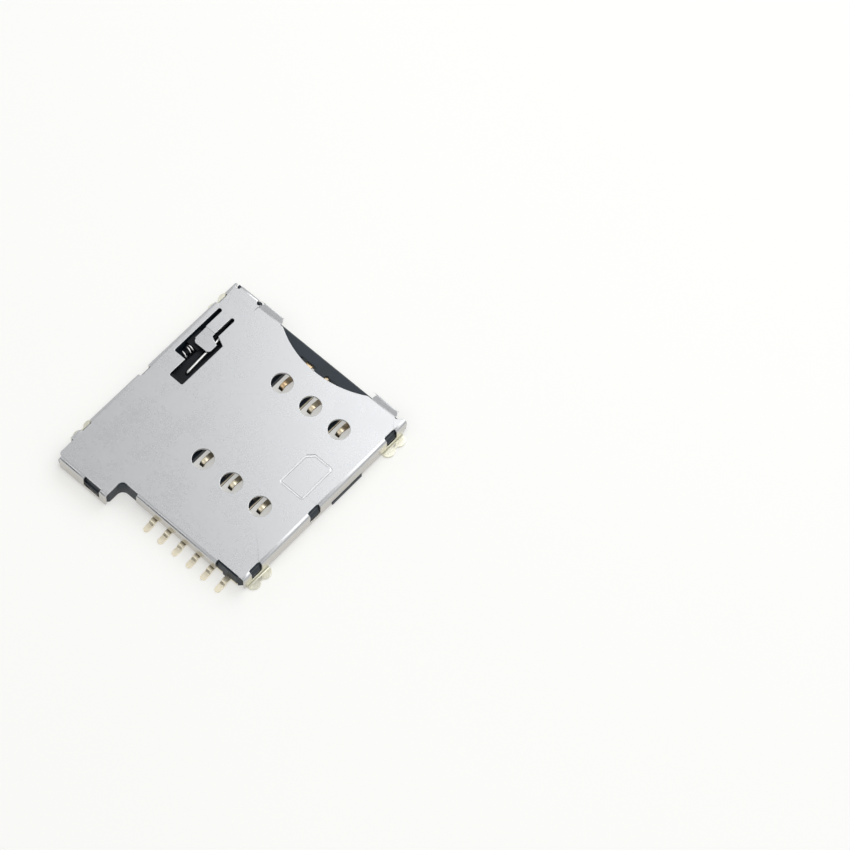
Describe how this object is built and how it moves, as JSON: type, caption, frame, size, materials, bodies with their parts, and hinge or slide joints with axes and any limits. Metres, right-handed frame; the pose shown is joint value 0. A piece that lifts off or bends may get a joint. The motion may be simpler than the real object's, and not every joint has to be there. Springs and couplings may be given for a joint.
{
  "type": "sim card socket",
  "caption": "Push-push SIM card socket: dark moulded base under a folded metal cover, with spring contacts, solder tails and tabs, eject slider, return spring and lock pin.",
  "frame": {"origin": "middle of the part's outline on the board plane", "axes": "+Z away from the board, +Y towards the solder tails, the card enters along +Y from the front; +X towards the spring bay"},
  "size_m": [0.0166, 0.0176, 0.0016],
  "materials": {
    "housing_plastic": "fine moulded matte",
    "shell_metal": "satin plated sheet",
    "contact_metal": "thin pale plating",
    "slider_plastic": "fine moulded matte",
    "spring_steel": "bright drawn wire",
    "pin_steel": "bright drawn wire"
  },
  "bodies": {
    "base": {"housing": "housing_plastic", "shell": "shell_metal", "contact_front_1": "contact_metal", "contact_front_2": "contact_metal", "contact_front_3": "contact_metal", "contact_rear_1": "contact_metal", "contact_rear_2": "contact_metal", "contact_rear_3": "contact_metal", "eject_spring": "spring_steel"},
    "slider": {"slider": "slider_plastic"},
    "lock_pin": {"lock_pin": "pin_steel"}
  },
  "joints": [
    {"name": "eject_slide", "type": "slide", "parent": "base", "child": "slider", "axis": [0, 1, 0], "range_m": [0, 0.0046], "stiffness_N_per_m": 150, "springref_m": -0.004, "deforming": ["eject_spring"]},
    {"name": "pin_swing", "type": "hinge", "parent": "base", "child": "lock_pin", "pos_m": [0.0058, -0.00753, 0], "axis": [0, 0, 1], "range_deg": [-4.4, 0]}
  ],
  "couplings": [
    {"joint": "pin_swing", "follows": "eject_slide", "rad_per_m": -16.315}
  ]
}
